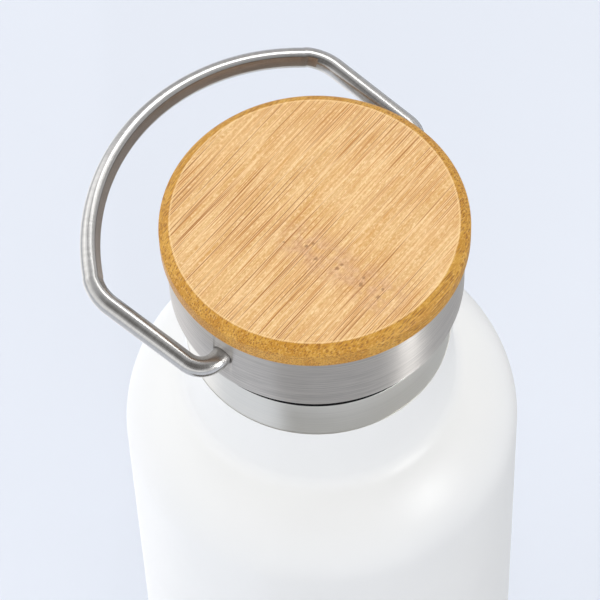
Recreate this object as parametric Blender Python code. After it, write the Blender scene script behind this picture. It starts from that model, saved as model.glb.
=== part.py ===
"""Double-wall steel water bottle with a bamboo-topped screw cap and a swinging bail handle.

The bottle stands on z = 0 with its axis on +Z. The handle pivots on an axis parallel to X,
and leans towards +Y in the rest pose. Units are metres.
"""

import math

import bmesh
import bpy
from mathutils import Matrix, Vector

MM = 0.001

# ---------------------------------------------------------------- driving dimensions
FIT_GAP = 0.3 * MM
SHEET = 0.7 * MM
FINE = 56
COARSE = 36
CUT_PAST = 1.0 * MM

# outer shell
BODY_R = 36.5 * MM
FOOT_OUTER_R = 31.5 * MM
FOOT_INNER_R = 29.4 * MM
HEEL_R = 5.0 * MM
FOOT_FLANGE_TOP = 4.0 * MM
SHOULDER_Z = 138.0 * MM
SHOULDER_ARC_R = 17.8 * MM
SHOULDER_FILLET_R = 4.0 * MM
NECK_ROOT_R = 24.8 * MM
NECK_R = 23.8 * MM
NECK_BARE_Z = 170.7 * MM
MOUTH_Z = 180.7 * MM
LIP_CHAMFER = 0.5 * MM

# inner flask
VACUUM_GAP = 2.4 * MM
FLASK_SPLIT_Z = 14.0 * MM
FLASK_BOTTOM_Z = 6.4 * MM
FLASK_HEEL_R = 6.0 * MM
BORE_R = 21.0 * MM
COLLAR_R = 22.8 * MM
COLLAR_DEPTH = 1.6 * MM
COLLAR_FLARE = 1.0 * MM

# screw thread between neck and plug
THREAD_PITCH = 4.0 * MM
THREAD_TURNS = 1.75
THREAD_HEIGHT = 0.95 * MM
THREAD_ROOT_HALF = 0.8 * MM
THREAD_CREST_HALF = 0.4 * MM
NECK_THREAD_Z = 168.2 * MM
THREAD_PHASE_DROP = 1.4 * MM
THREAD_EMBED = 0.35 * MM
THREAD_FADE_STEPS = 5

# cap
CAP_SHELL_R = 26.05 * MM
CAP_SHELL_SHEET = 0.5 * MM
CAP_CURL_R = 3.6 * MM
CAP_CURL_Z = 185.7 * MM
CAP_CURL_END_DEG = 70.0
CAP_TOP_Z = 198.44 * MM
CAP_TOP_HOLE_R = 23.7 * MM
CORE_SKIRT_R = 25.2 * MM
CORE_SKIRT_INNER_R = 23.9 * MM
CORE_FLOOR_Z = 183.3 * MM
CORE_WEB = 1.7 * MM
PLUG_R = 19.7 * MM
PLUG_WALL = 2.0 * MM
PLUG_BOTTOM_Z = 163.3 * MM
CORE_PLATE = 3.2 * MM
LINER_BOTTOM_Z = 161.8 * MM
LINER_BOSS_TOP_Z = 166.0 * MM
FOAM_TOP_Z = 192.4 * MM
CAP_TOP_EDGE = 0.4 * MM
PLUG_EDGE = 0.5 * MM
GASKET_INNER_R = 21.3 * MM
GASKET_OUTER_R = 22.9 * MM
GASKET_TAPER = 0.4 * MM

# bamboo disc
BAMBOO_R = 27.0 * MM
BAMBOO_BOTTOM_Z = 198.74 * MM
BAMBOO_BEVEL_Z = 202.0 * MM
BAMBOO_TOP_Z = 203.35 * MM
BAMBOO_BEVEL_IN = 1.85 * MM
BEVEL_MID_IN = 0.55
BEVEL_MID_UP = 0.75
BAMBOO_EDGE = 0.3 * MM

# cap screws
SCREW_CIRCLE_R = 11.0 * MM
SCREW_COUNT = 3
SCREW_SHANK_R = 1.2 * MM
SCREW_HEAD_R = 2.5 * MM
SCREW_HEAD_H = 1.6 * MM
SCREW_TIP_Z = 201.7 * MM
SCREW_HOLE_R = 1.5 * MM
SCREW_RIM = 0.55
SCREW_POINT = 1.2 * MM
SLOT_HALF_WIDTH = 0.28 * MM
SLOT_REACH = 1.1 * MM
SLOT_DEPTH = 0.8 * MM
SCREW_SIDES = 14

# handle and its pivots
PIVOT_Z = 192.35 * MM
HANDLE_LEAN_DEG = 9.65
WIRE_R = 1.8 * MM
HANDLE_HALF_WIDTH = 31.1 * MM
HANDLE_SHOULDER_HALF = 31.6 * MM
HANDLE_LEG = 23.4 * MM
HANDLE_ARC_CENTRE = 0.6 * MM
PIVOT_BEND_R = 3.85 * MM
SHOULDER_BEND_R = 8.9 * MM
WIRE_FACE_X = 25.5 * MM
SPIGOT_R = 1.25 * MM
SPIGOT_TIP_X = 21.3 * MM
FLAT_DEPTH = 0.29 * MM
BUSH_R = 2.0 * MM
BUSH_BORE_R = 1.35 * MM
BUSH_FLANGE_R = 2.8 * MM
BUSH_OUTER_X = 25.35 * MM
BUSH_FLANGE_X = 23.35 * MM
BUSH_INNER_X = 22.9 * MM
CLIP_R = 2.7 * MM
CLIP_BORE_R = 1.35 * MM
CLIP_X = 22.1 * MM
CLIP_THICK = 0.5 * MM
CORE_PIVOT_HOLE_R = 2.2 * MM
SHELL_PIVOT_HOLE_R = 1.95 * MM
PIVOT_SIDES = 20
WIRE_SIDES = 14
FLAT_MARGIN_DEG = 0.7
FLAT_TILT_DEG = 37.0

# base
BASE_PLATE_Z = 2.0 * MM
BASE_HOLE_R = 1.2 * MM
COVER_THICK = 0.8 * MM
SEAL_HEAD_R = 2.2 * MM
SEAL_STEM_R = 0.9 * MM
GETTER_R = 4.0 * MM
GETTER_H = 2.2 * MM
GETTER_OFFSET = 14.0 * MM
COVER_EDGE = 0.3 * MM
SEAL_GAP = 0.2 * MM
SEAL_EDGE = 0.4 * MM
SEAL_TIP = 0.5 * MM
GETTER_EDGE = 0.5 * MM
SMALL_SIDES = 16
FOIL_STANDOFF = 0.6 * MM
FOIL_THICK = 0.2 * MM
FOIL_BOTTOM_Z = 18.0 * MM
FOIL_TOP_Z = 134.0 * MM


# ---------------------------------------------------------------- helpers
def clear_scene():
    for obj in list(bpy.data.objects):
        bpy.data.objects.remove(obj, do_unlink=True)


def make_material(name, colour, roughness, metallic):
    material = bpy.data.materials.new(name)
    material.use_nodes = True
    shader = material.node_tree.nodes["Principled BSDF"]
    shader.inputs["Base Color"].default_value = (*colour, 1.0)
    shader.inputs["Roughness"].default_value = roughness
    shader.inputs["Metallic"].default_value = metallic
    return material


def add_object(name, mesh_bm, material, smooth_deg=35.0):
    """Turn a bmesh into a named object with its faces pointing outwards."""
    bmesh.ops.recalc_face_normals(mesh_bm, faces=mesh_bm.faces)
    mesh = bpy.data.meshes.new(name)
    mesh_bm.to_mesh(mesh)
    mesh_bm.free()
    mesh.materials.append(material)
    mesh.shade_smooth()
    mesh.set_sharp_from_angle(angle=math.radians(smooth_deg))
    obj = bpy.data.objects.new(name, mesh)
    bpy.context.scene.collection.objects.link(obj)
    return obj


def arc(centre, radius, start_deg, end_deg, steps):
    """Points along a circular arc in the (r, z) plane, both ends included."""
    points = []
    for i in range(steps + 1):
        angle = math.radians(start_deg + (end_deg - start_deg) * i / steps)
        points.append((centre[0] + radius * math.cos(angle), centre[1] + radius * math.sin(angle)))
    return points


def lathe_bmesh(profile, segments):
    """Spin an (r, z) outline about Z. An outline that starts and ends on the axis stays open."""
    bm = bmesh.new()
    verts = [bm.verts.new((r, 0.0, z)) for r, z in profile]
    edges = [bm.edges.new(pair) for pair in zip(verts, verts[1:])]
    if profile[0][0] > 0.0 or profile[-1][0] > 0.0:
        edges.append(bm.edges.new((verts[-1], verts[0])))
    bmesh.ops.spin(
        bm,
        geom=verts + edges,
        cent=(0.0, 0.0, 0.0),
        axis=(0.0, 0.0, 1.0),
        angle=math.tau,
        steps=segments,
        use_merge=True,
    )
    bmesh.ops.remove_doubles(bm, verts=bm.verts, dist=1e-7)
    return bm


def lathe(name, profile, segments, material, smooth_deg=35.0):
    return add_object(name, lathe_bmesh(profile, segments), material, smooth_deg)


def make_cutter(name, mesh_bm):
    """A helper solid that only shapes other pieces."""
    cutter = add_object(name, mesh_bm, bpy.data.materials["cutter"])
    cutter.hide_render = True
    cutter.display_type = "WIRE"
    return cutter


def boolean(target, tool, operation):
    modifier = target.modifiers.new(operation.lower() + "_" + tool.name, "BOOLEAN")
    modifier.operation = operation
    modifier.solver = "EXACT"
    modifier.object = tool


def helical_ridge(root_r, crest_r, start_z):
    """A closed right-hand thread ridge that fades into the wall at both ends."""
    steps = round(THREAD_TURNS * COARSE)
    deeper = min if crest_r > root_r else max
    embed = math.copysign(THREAD_EMBED, crest_r - root_r)
    # a faded end dips just inside the wall, so the ridge stays a closed solid
    faded_r = root_r - 0.3 * embed
    bm = bmesh.new()
    rings = []
    for i in range(steps + 1):
        angle = math.tau * i / COARSE
        fade = min(1.0, i / THREAD_FADE_STEPS, (steps - i) / THREAD_FADE_STEPS)
        crest = faded_r + (crest_r - faded_r) * fade
        flank_r = deeper(root_r, crest)
        mid_z = start_z + THREAD_PITCH * angle / math.tau
        outline = (
            (root_r - embed, -THREAD_ROOT_HALF),
            (flank_r, -THREAD_ROOT_HALF),
            (crest, -THREAD_CREST_HALF),
            (crest, THREAD_CREST_HALF),
            (flank_r, THREAD_ROOT_HALF),
            (root_r - embed, THREAD_ROOT_HALF),
        )
        rings.append(
            [
                bm.verts.new((r * math.cos(angle), r * math.sin(angle), mid_z + z))
                for r, z in outline
            ]
        )
    for ring, following in zip(rings, rings[1:]):
        for k in range(len(ring)):
            j = (k + 1) % len(ring)
            bm.faces.new((ring[k], ring[j], following[j], following[k]))
    bm.faces.new(rings[0])
    bm.faces.new(rings[-1])
    return bm


# ---------------------------------------------------------------- outlines shared by both walls
def shoulder_centre():
    return (BODY_R - SHOULDER_ARC_R, SHOULDER_Z)


def shoulder_outline(inset, arc_steps, fillet_steps):
    """Outer dome and its blend into the neck, from the body up, moved inwards by inset."""
    centre = shoulder_centre()
    fillet_r = SHOULDER_FILLET_R + inset
    dome_r = SHOULDER_ARC_R - inset
    fillet_centre_r = NECK_ROOT_R + SHOULDER_FILLET_R
    rise = math.sqrt((SHOULDER_ARC_R + SHOULDER_FILLET_R) ** 2 - (fillet_centre_r - centre[0]) ** 2)
    fillet_centre = (fillet_centre_r, centre[1] + rise)
    meet_deg = math.degrees(math.atan2(rise, fillet_centre_r - centre[0]))
    dome = arc(centre, dome_r, 0.0, meet_deg, arc_steps)
    fillet = arc(fillet_centre, fillet_r, 180.0 + meet_deg, 180.0, fillet_steps)
    return dome + fillet[1:]


# ---------------------------------------------------------------- bottle body
def build_outer_shell(steel):
    heel_centre = (BODY_R - HEEL_R, HEEL_R)
    outside = [(FOOT_INNER_R, 0.0), (FOOT_OUTER_R, 0.0)]
    outside += arc(heel_centre, HEEL_R, -90.0, 0.0, 4)[1:]
    outside += shoulder_outline(0.0, 8, 3)
    outside += [
        (NECK_R, NECK_BARE_Z),
        (NECK_R, MOUTH_Z - LIP_CHAMFER),
        (NECK_R - 0.6 * LIP_CHAMFER, MOUTH_Z),
    ]
    inside = [(FOOT_INNER_R, FOOT_FLANGE_TOP), (FOOT_INNER_R + SHEET, FOOT_FLANGE_TOP)]
    inside += [(FOOT_INNER_R + SHEET, SHEET), (FOOT_OUTER_R, SHEET)]
    inside += arc(heel_centre, HEEL_R - SHEET, -90.0, 0.0, 3)[1:]
    inside += shoulder_outline(SHEET, 6, 2)
    inside += [(NECK_R - SHEET, NECK_BARE_Z), (NECK_R - SHEET, MOUTH_Z)]
    lathe("outer_shell", outside + inside[::-1], FINE, steel)


def build_outer_base(steel):
    rim_r = FOOT_INNER_R - FIT_GAP
    top = BASE_PLATE_Z + SHEET
    profile = [
        (BASE_HOLE_R, BASE_PLATE_Z),
        (rim_r, BASE_PLATE_Z),
        (rim_r, FOOT_FLANGE_TOP),
        (rim_r - SHEET, FOOT_FLANGE_TOP),
        (rim_r - SHEET, top),
        (BASE_HOLE_R, top),
    ]
    lathe("outer_base_plate", profile, COARSE, steel)


def build_base_cover(steel):
    cover_r = FOOT_INNER_R - 2.0 * FIT_GAP
    profile = [
        (0.0, 0.0),
        (cover_r - COVER_EDGE, 0.0),
        (cover_r, COVER_EDGE),
        (cover_r, COVER_THICK),
        (0.0, COVER_THICK),
    ]
    lathe("base_cover_disc", profile, COARSE, steel)


def build_vacuum_seal(solder):
    head_low = COVER_THICK + SEAL_GAP
    head_high = BASE_PLATE_Z - FIT_GAP
    stem_high = BASE_PLATE_Z + SHEET + SEAL_TIP
    profile = [
        (0.0, head_low),
        (SEAL_HEAD_R - SEAL_EDGE, head_low),
        (SEAL_HEAD_R, head_low + SEAL_EDGE),
        (SEAL_HEAD_R, head_high),
        (SEAL_STEM_R, head_high),
        (SEAL_STEM_R, stem_high),
        (0.0, stem_high),
    ]
    lathe("vacuum_seal_plug", profile, SMALL_SIDES, solder)


def build_getter(getter):
    low = BASE_PLATE_Z + SHEET + FIT_GAP
    profile = [
        (0.0, low),
        (GETTER_R, low),
        (GETTER_R, low + GETTER_H - GETTER_EDGE),
        (GETTER_R - GETTER_EDGE, low + GETTER_H),
        (0.0, low + GETTER_H),
    ]
    capsule = lathe("getter_capsule", profile, SMALL_SIDES, getter)
    capsule.location = (GETTER_OFFSET, 0.0, 0.0)
    return capsule


def flask_outer_r():
    return BODY_R - SHEET - VACUUM_GAP


def build_inner_flask(steel):
    """Neck tube, shoulder and wall of the flask, with the neck's internal thread."""
    centre = shoulder_centre()
    wall_r = flask_outer_r()
    dome_r = wall_r - centre[0]
    tube_r = BORE_R + SHEET
    meet_out = math.degrees(math.acos((tube_r - centre[0]) / dome_r))
    meet_in = math.degrees(math.acos((BORE_R - centre[0]) / (dome_r - SHEET)))
    collar_z = MOUTH_Z - COLLAR_DEPTH
    outside = [(wall_r, FLASK_SPLIT_Z)]
    outside += arc(centre, dome_r, 0.0, meet_out, 6)
    outside += [(tube_r, collar_z - COLLAR_FLARE), (COLLAR_R, collar_z), (COLLAR_R, MOUTH_Z)]
    inside = [(wall_r - SHEET, FLASK_SPLIT_Z)]
    inside += arc(centre, dome_r - SHEET, 0.0, meet_in, 5)
    inside += [(BORE_R, MOUTH_Z - LIP_CHAMFER), (BORE_R + LIP_CHAMFER, MOUTH_Z)]
    flask = lathe("inner_flask", outside + inside[::-1], COARSE, steel)
    ridge = make_cutter(
        "neck_thread_form",
        helical_ridge(BORE_R, BORE_R - THREAD_HEIGHT, NECK_THREAD_Z),
    )
    boolean(flask, ridge, "UNION")
    return flask


def build_inner_flask_base(steel):
    wall_r = flask_outer_r()
    heel = (wall_r - FLASK_HEEL_R, FLASK_BOTTOM_Z + FLASK_HEEL_R)
    seam_z = FLASK_SPLIT_Z - FIT_GAP
    outside = [(0.0, FLASK_BOTTOM_Z)] + arc(heel, FLASK_HEEL_R, -90.0, 0.0, 4) + [(wall_r, seam_z)]
    inside = [(0.0, FLASK_BOTTOM_Z + SHEET)]
    inside += arc(heel, FLASK_HEEL_R - SHEET, -90.0, 0.0, 3) + [(wall_r - SHEET, seam_z)]
    lathe("inner_flask_base", outside + inside[::-1], COARSE, steel)


def build_foil(foil):
    inner = flask_outer_r() + FOIL_STANDOFF
    outer = inner + FOIL_THICK
    profile = [
        (inner, FOIL_BOTTOM_Z),
        (outer, FOIL_BOTTOM_Z),
        (outer, FOIL_TOP_Z),
        (inner, FOIL_TOP_Z),
    ]
    lathe("reflective_foil", profile, COARSE, foil)


# ---------------------------------------------------------------- cap
def pivot_cutter(name, radius):
    """Two short cylinders on the pivot axis that open the cap's wall at -X and +X."""
    bm = bmesh.new()
    low = CORE_SKIRT_INNER_R - CUT_PAST
    high = CAP_SHELL_R + CUT_PAST
    for side in (-1.0, 1.0):
        bmesh.ops.create_cone(
            bm,
            cap_ends=True,
            segments=PIVOT_SIDES,
            radius1=radius,
            radius2=radius,
            depth=high - low,
            matrix=Matrix.Translation((side * (low + high) / 2.0, 0.0, PIVOT_Z))
            @ Matrix.Rotation(math.radians(90.0), 4, "Y"),
        )
    return make_cutter(name, bm)


def screw_places():
    places = []
    for i in range(SCREW_COUNT):
        angle = math.tau * (i + 0.25) / SCREW_COUNT
        places.append((SCREW_CIRCLE_R * math.cos(angle), SCREW_CIRCLE_R * math.sin(angle)))
    return places


def screw_hole_cutter(name, low, high):
    bm = bmesh.new()
    for x, y in screw_places():
        bmesh.ops.create_cone(
            bm,
            cap_ends=True,
            segments=SCREW_SIDES,
            radius1=SCREW_HOLE_R,
            radius2=SCREW_HOLE_R,
            depth=high - low,
            matrix=Matrix.Translation((x, y, (low + high) / 2.0)),
        )
    return make_cutter(name, bm)


def build_bamboo(bamboo):
    bevel_mid_z = BAMBOO_BEVEL_Z + BEVEL_MID_UP * (BAMBOO_TOP_Z - BAMBOO_BEVEL_Z)
    profile = [
        (0.0, BAMBOO_BOTTOM_Z),
        (BAMBOO_R - BAMBOO_EDGE, BAMBOO_BOTTOM_Z),
        (BAMBOO_R, BAMBOO_BOTTOM_Z + BAMBOO_EDGE),
        (BAMBOO_R, BAMBOO_BEVEL_Z),
        (BAMBOO_R - BEVEL_MID_IN * BAMBOO_BEVEL_IN, bevel_mid_z),
        (BAMBOO_R - BAMBOO_BEVEL_IN, BAMBOO_TOP_Z),
        (0.0, BAMBOO_TOP_Z),
    ]
    disc = lathe("bamboo_disc", profile, FINE, bamboo, smooth_deg=25.0)
    holes = screw_hole_cutter("bamboo_holes", BAMBOO_BOTTOM_Z - CUT_PAST, SCREW_TIP_Z + FIT_GAP)
    boolean(disc, holes, "DIFFERENCE")
    return disc


def build_cap_shell(steel, pivot_holes):
    curl_centre = (CAP_SHELL_R - CAP_CURL_R, CAP_CURL_Z)
    outside = arc(curl_centre, CAP_CURL_R, -CAP_CURL_END_DEG, 0.0, 5)
    outside += [
        (CAP_SHELL_R, CAP_TOP_Z - CAP_TOP_EDGE),
        (CAP_SHELL_R - CAP_TOP_EDGE, CAP_TOP_Z),
        (CAP_TOP_HOLE_R, CAP_TOP_Z),
    ]
    inside = arc(curl_centre, CAP_CURL_R - CAP_SHELL_SHEET, -CAP_CURL_END_DEG, 0.0, 4)
    inside += [
        (CAP_SHELL_R - CAP_SHELL_SHEET, CAP_TOP_Z - CAP_SHELL_SHEET),
        (CAP_TOP_HOLE_R, CAP_TOP_Z - CAP_SHELL_SHEET),
    ]
    shell = lathe("cap_shell", outside + inside[::-1], FINE, steel)
    boolean(shell, pivot_holes, "DIFFERENCE")
    return shell


def build_cap_core(plastic, pivot_holes):
    """Moulded core: skirt inside the shell, threaded plug below, hollow between them."""
    curl_centre = (CAP_SHELL_R - CAP_CURL_R, CAP_CURL_Z)
    corner_r = CORE_SKIRT_R - curl_centre[0]
    start_deg = math.degrees(math.asin((CORE_FLOOR_Z - CAP_CURL_Z) / corner_r))
    skirt_top = CAP_TOP_Z - CAP_SHELL_SHEET - FIT_GAP
    plate_top = BAMBOO_BOTTOM_Z - FIT_GAP
    cavity_r = PLUG_R - PLUG_WALL
    outline = [
        (0.0, plate_top - CORE_PLATE),
        (cavity_r, plate_top - CORE_PLATE),
        (cavity_r, PLUG_BOTTOM_Z),
        (PLUG_R - PLUG_EDGE, PLUG_BOTTOM_Z),
        (PLUG_R, PLUG_BOTTOM_Z + PLUG_EDGE),
        (PLUG_R, CORE_FLOOR_Z),
    ]
    outline += arc(curl_centre, corner_r, start_deg, 0.0, 3)
    outline += [
        (CORE_SKIRT_R, skirt_top),
        (CORE_SKIRT_INNER_R, skirt_top),
        (CORE_SKIRT_INNER_R, CORE_FLOOR_Z + CORE_WEB),
        (PLUG_R, CORE_FLOOR_Z + CORE_WEB),
        (PLUG_R, plate_top),
        (0.0, plate_top),
    ]
    core = lathe("cap_core", outline, COARSE, plastic)
    ridge = make_cutter(
        "plug_thread_form",
        helical_ridge(PLUG_R, PLUG_R + THREAD_HEIGHT, NECK_THREAD_Z - THREAD_PHASE_DROP),
    )
    holes = screw_hole_cutter("core_holes", plate_top - CORE_PLATE - CUT_PAST, plate_top + CUT_PAST)
    boolean(core, ridge, "UNION")
    boolean(core, holes, "DIFFERENCE")
    boolean(core, pivot_holes, "DIFFERENCE")
    return core


def build_plug_liner(steel):
    boss_r = PLUG_R - PLUG_WALL - FIT_GAP
    rim_top = PLUG_BOTTOM_Z - FIT_GAP
    profile = [
        (0.0, LINER_BOTTOM_Z),
        (PLUG_R - PLUG_EDGE, LINER_BOTTOM_Z),
        (PLUG_R, LINER_BOTTOM_Z + PLUG_EDGE),
        (PLUG_R, rim_top),
        (boss_r, rim_top),
        (boss_r, LINER_BOSS_TOP_Z),
        (0.0, LINER_BOSS_TOP_Z),
    ]
    lathe("plug_end_disc", profile, COARSE, steel)


def build_foam(foam):
    foam_r = PLUG_R - PLUG_WALL - FIT_GAP
    low = LINER_BOSS_TOP_Z + FIT_GAP
    profile = [(0.0, low), (foam_r, low), (foam_r, FOAM_TOP_Z), (0.0, FOAM_TOP_Z)]
    lathe("insulation_puck", profile, COARSE, foam)


def build_gasket(silicone):
    low = MOUTH_Z + FIT_GAP
    high = CORE_FLOOR_Z - FIT_GAP
    middle = (low + high) / 2.0
    profile = [
        (GASKET_INNER_R, high),
        (GASKET_INNER_R, middle),
        (GASKET_INNER_R + GASKET_TAPER, low),
        (GASKET_OUTER_R - GASKET_TAPER, low),
        (GASKET_OUTER_R, middle),
        (GASKET_OUTER_R, high),
    ]
    lathe("cap_gasket", profile, COARSE, silicone)


def build_screws(steel):
    """Pan-head screws that go up through the core's plate into the bamboo."""
    head_top = BAMBOO_BOTTOM_Z - FIT_GAP - CORE_PLATE - FIT_GAP
    head_low = head_top - SCREW_HEAD_H
    profile = [
        (0.0, head_low),
        (0.6 * SCREW_HEAD_R, head_low),
        (SCREW_HEAD_R, head_low + SCREW_RIM * SCREW_HEAD_H),
        (SCREW_HEAD_R, head_top),
        (SCREW_SHANK_R, head_top),
        (SCREW_SHANK_R, SCREW_TIP_Z - SCREW_POINT),
        (0.0, SCREW_TIP_Z),
    ]
    for number, (x, y) in enumerate(screw_places(), start=1):
        screw = lathe(f"cap_screw_{number}", profile, SCREW_SIDES, steel)
        slots = (("a", SLOT_REACH, SLOT_HALF_WIDTH), ("b", SLOT_HALF_WIDTH, SLOT_REACH))
        for tag, half_x, half_y in slots:
            bm = bmesh.new()
            bmesh.ops.create_cube(
                bm,
                size=2.0,
                matrix=Matrix.Translation((0.0, 0.0, head_low))
                @ Matrix.Diagonal((half_x, half_y, SLOT_DEPTH, 1.0)),
            )
            slot = make_cutter(f"screw_slot_{number}_{tag}", bm)
            slot.parent = screw
            boolean(screw, slot, "DIFFERENCE")
        screw.location = (x, y, 0.0)


# ---------------------------------------------------------------- handle
def lathe_on_pivot(name, profile, segments, material, side):
    """A turned piece on the pivot axis. The outline's z runs outwards from the bottle's axis."""
    piece = lathe(name, profile, segments, material)
    piece.rotation_euler = (0.0, math.radians(90.0 * side), 0.0)
    piece.location = (0.0, 0.0, PIVOT_Z)
    return piece


def build_bush(name, plastic, side):
    profile = [
        (BUSH_BORE_R, BUSH_INNER_X),
        (BUSH_FLANGE_R, BUSH_INNER_X),
        (BUSH_FLANGE_R, BUSH_FLANGE_X),
        (BUSH_R, BUSH_FLANGE_X),
        (BUSH_R, BUSH_OUTER_X),
        (BUSH_BORE_R, BUSH_OUTER_X),
    ]
    return lathe_on_pivot(name, profile, PIVOT_SIDES, plastic, side)


def build_clip(name, steel, side):
    profile = [
        (CLIP_BORE_R, CLIP_X),
        (CLIP_R, CLIP_X),
        (CLIP_R, CLIP_X + CLIP_THICK),
        (CLIP_BORE_R, CLIP_X + CLIP_THICK),
    ]
    return lathe_on_pivot(name, profile, SMALL_SIDES, steel, side)


def rounded_corner(before, corner, after, radius, steps):
    """Points of the arc that rounds the corner of a flat path."""
    before, corner, after = Vector(before), Vector(corner), Vector(after)
    u = (before - corner).normalized()
    w = (after - corner).normalized()
    half = u.angle(w) / 2.0
    centre = corner + (u + w).normalized() * radius / math.sin(half)
    start = corner + u * radius / math.tan(half)
    turn = math.pi - 2.0 * half
    spin = math.copysign(turn, (corner - before).cross(after - corner))
    arm = start - centre
    points = []
    for i in range(steps + 1):
        angle = spin * i / steps
        turned = Vector(
            (
                arm.x * math.cos(angle) - arm.y * math.sin(angle),
                arm.x * math.sin(angle) + arm.y * math.cos(angle),
            )
        )
        points.append(centre + turned)
    return points


def handle_arc():
    """Radius of the bail's big arc, and the angle at which it meets the leg."""
    rise = HANDLE_LEG - HANDLE_ARC_CENTRE
    return math.hypot(HANDLE_SHOULDER_HALF, rise), math.atan2(rise, HANDLE_SHOULDER_HALF)


def half_handle_path():
    """Centreline of the +X half of the bail in its own plane, from the pivot to the middle."""
    arc_r, meet = handle_arc()
    top_of_leg = Vector((HANDLE_SHOULDER_HALF, HANDLE_LEG))
    along_arc = top_of_leg + Vector((-math.sin(meet), math.cos(meet)))
    path = [Vector((WIRE_FACE_X, 0.0))]
    path += rounded_corner(
        (0.0, 0.0), (HANDLE_HALF_WIDTH, 0.0), top_of_leg, PIVOT_BEND_R, 5
    )
    shoulder = rounded_corner(
        (HANDLE_HALF_WIDTH, 0.0), top_of_leg, along_arc, SHOULDER_BEND_R, 5
    )
    path += shoulder
    end = shoulder[-1] - Vector((0.0, HANDLE_ARC_CENTRE))
    start_angle = math.atan2(end.y, end.x)
    steps = 11
    for i in range(1, steps + 1):
        angle = start_angle + (math.pi / 2.0 - start_angle) * i / steps
        path.append(
            Vector((arc_r * math.cos(angle), HANDLE_ARC_CENTRE + arc_r * math.sin(angle)))
        )
    return path


def build_handle(steel):
    """Bent round wire with turned-down pivot ends and a flat along the inner side of its arc."""
    half = half_handle_path()
    path = [Vector((-p.x, p.y)) for p in half] + half[-2::-1]
    along_pivot = Vector((-1.0, 0.0))
    rings = [
        (Vector((-SPIGOT_TIP_X, 0.0)), along_pivot, SPIGOT_R),
        (path[0], along_pivot, SPIGOT_R),
        (path[0], along_pivot, WIRE_R),
    ]
    for back, point, ahead in zip(path, path[1:], path[2:]):
        rings.append((point, (ahead - back).normalized(), WIRE_R))
    rings += [
        (path[-1], along_pivot, WIRE_R),
        (path[-1], along_pivot, SPIGOT_R),
        (Vector((SPIGOT_TIP_X, 0.0)), along_pivot, SPIGOT_R),
    ]
    bm = bmesh.new()
    loops = []
    for point, direction, radius in rings:
        across = Vector((-direction.y, direction.x))
        loop = []
        for k in range(WIRE_SIDES):
            angle = math.tau * (k + 0.5) / WIRE_SIDES
            flat = point + across * radius * math.cos(angle)
            loop.append(bm.verts.new((flat.x, flat.y, radius * math.sin(angle))))
        loops.append(loop)
    for loop, following in zip(loops, loops[1:]):
        for k in range(WIRE_SIDES):
            j = (k + 1) % WIRE_SIDES
            bm.faces.new((loop[k], loop[j], following[j], following[k]))
    bm.faces.new(loops[0])
    bm.faces.new(loops[-1])
    handle = add_object("bail_handle", bm, steel, smooth_deg=40.0)
    flat = make_cutter("handle_flat_form", handle_flat_bmesh())
    flat.parent = handle
    boolean(handle, flat, "DIFFERENCE")
    handle.rotation_euler = (math.radians(HANDLE_LEAN_DEG), 0.0, 0.0)
    handle.location = (0.0, 0.0, PIVOT_Z)


def handle_flat_bmesh():
    """Planes the bail's arc on its inner side, with the flat tilted towards the bail's upper face."""
    arc_r, meet = handle_arc()
    first = meet + math.radians(FLAT_MARGIN_DEG)
    turns = [math.atan2(p.y - HANDLE_ARC_CENTRE, p.x) for p in half_handle_path()]
    half = [first] + [turn for turn in turns if turn > first]
    angles = half + [math.pi - turn for turn in half[-2::-1]]

    tilt = math.radians(FLAT_TILT_DEG)
    near, far = WIRE_R - FLAT_DEPTH, 2.0 * WIRE_R
    section = []
    for out, side in ((near, -WIRE_R), (near, WIRE_R), (far, WIRE_R), (far, -WIRE_R)):
        inward = out * math.cos(tilt) - side * math.sin(tilt)
        section.append((arc_r - inward, out * math.sin(tilt) + side * math.cos(tilt)))

    bm = bmesh.new()
    rings = []
    for angle in angles:
        ring = []
        for r, z in section:
            y = HANDLE_ARC_CENTRE + r * math.sin(angle)
            ring.append(bm.verts.new((r * math.cos(angle), y, z)))
        rings.append(ring)
    for ring, following in zip(rings, rings[1:]):
        for k in range(len(section)):
            j = (k + 1) % len(section)
            bm.faces.new((ring[k], ring[j], following[j], following[k]))
    bm.faces.new(rings[0])
    bm.faces.new(rings[-1])
    return bm


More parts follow.
